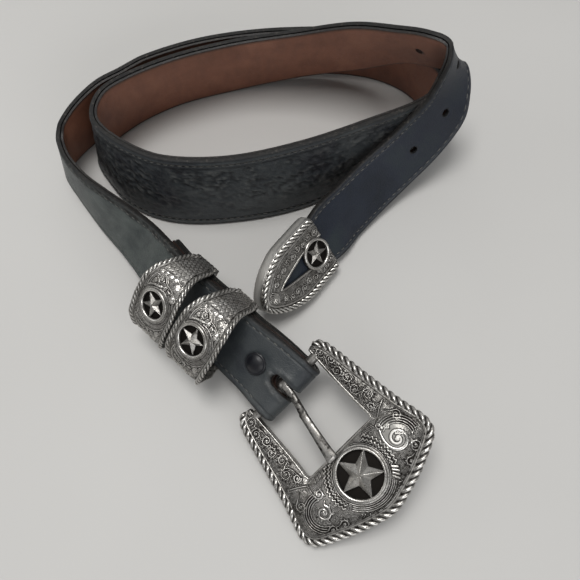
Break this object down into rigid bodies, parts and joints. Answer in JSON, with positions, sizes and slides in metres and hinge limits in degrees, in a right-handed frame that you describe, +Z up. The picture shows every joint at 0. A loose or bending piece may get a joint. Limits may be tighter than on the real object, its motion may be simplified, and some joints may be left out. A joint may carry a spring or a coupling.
{
  "type": "western belt",
  "caption": "Western ranger belt, coiled on its edge: lined dark leather strap with narrow ends, cast star buckle with prong, arched keepers, metal tip and snap.",
  "frame": {"origin": "middle of the footprint, on the surface the belt lies on", "axes": "+Z up, +X to the right and +Y away as the picture sees it; the buckle points towards -Y"},
  "size_m": [0.1766, 0.2186, 0.0631],
  "materials": {
    "dark_leather": "embossed, semi-gloss",
    "brown_lining": "matt",
    "antiqued_silver": "polished and antiqued, dark in the recesses",
    "black_metal": "black enamel, semi-gloss"
  },
  "bodies": {
    "strap": {"strap_outer": "dark_leather", "strap_lining": "brown_lining", "belt_tip": "antiqued_silver", "snap_fastener": "black_metal"},
    "buckle": {"buckle_frame": "antiqued_silver"},
    "prong": {"prong": "antiqued_silver"},
    "keeper_1": {"keeper_1": "antiqued_silver"},
    "keeper_2": {"keeper_2": "antiqued_silver"}
  },
  "joints": [
    {"name": "buckle_swing", "type": "hinge", "parent": "strap", "child": "buckle", "pos_m": [0.01195, -0.05648, 0.01326], "axis": [-0.6905, -0.5981, -0.4067], "range_deg": [-40, 35]},
    {"name": "prong_swing", "type": "hinge", "parent": "buckle", "child": "prong", "pos_m": [0.01195, -0.05648, 0.01326], "axis": [-0.6905, -0.5981, -0.4067], "range_deg": [0, 55]},
    {"name": "keeper_1_slide", "type": "slide", "parent": "strap", "child": "keeper_1", "axis": [-0.6884, 0.7254, 0], "range_m": [0, 0.003]},
    {"name": "keeper_2_slide", "type": "slide", "parent": "strap", "child": "keeper_2", "axis": [0.7193, -0.6947, 0], "range_m": [0, 0.003]}
  ]
}
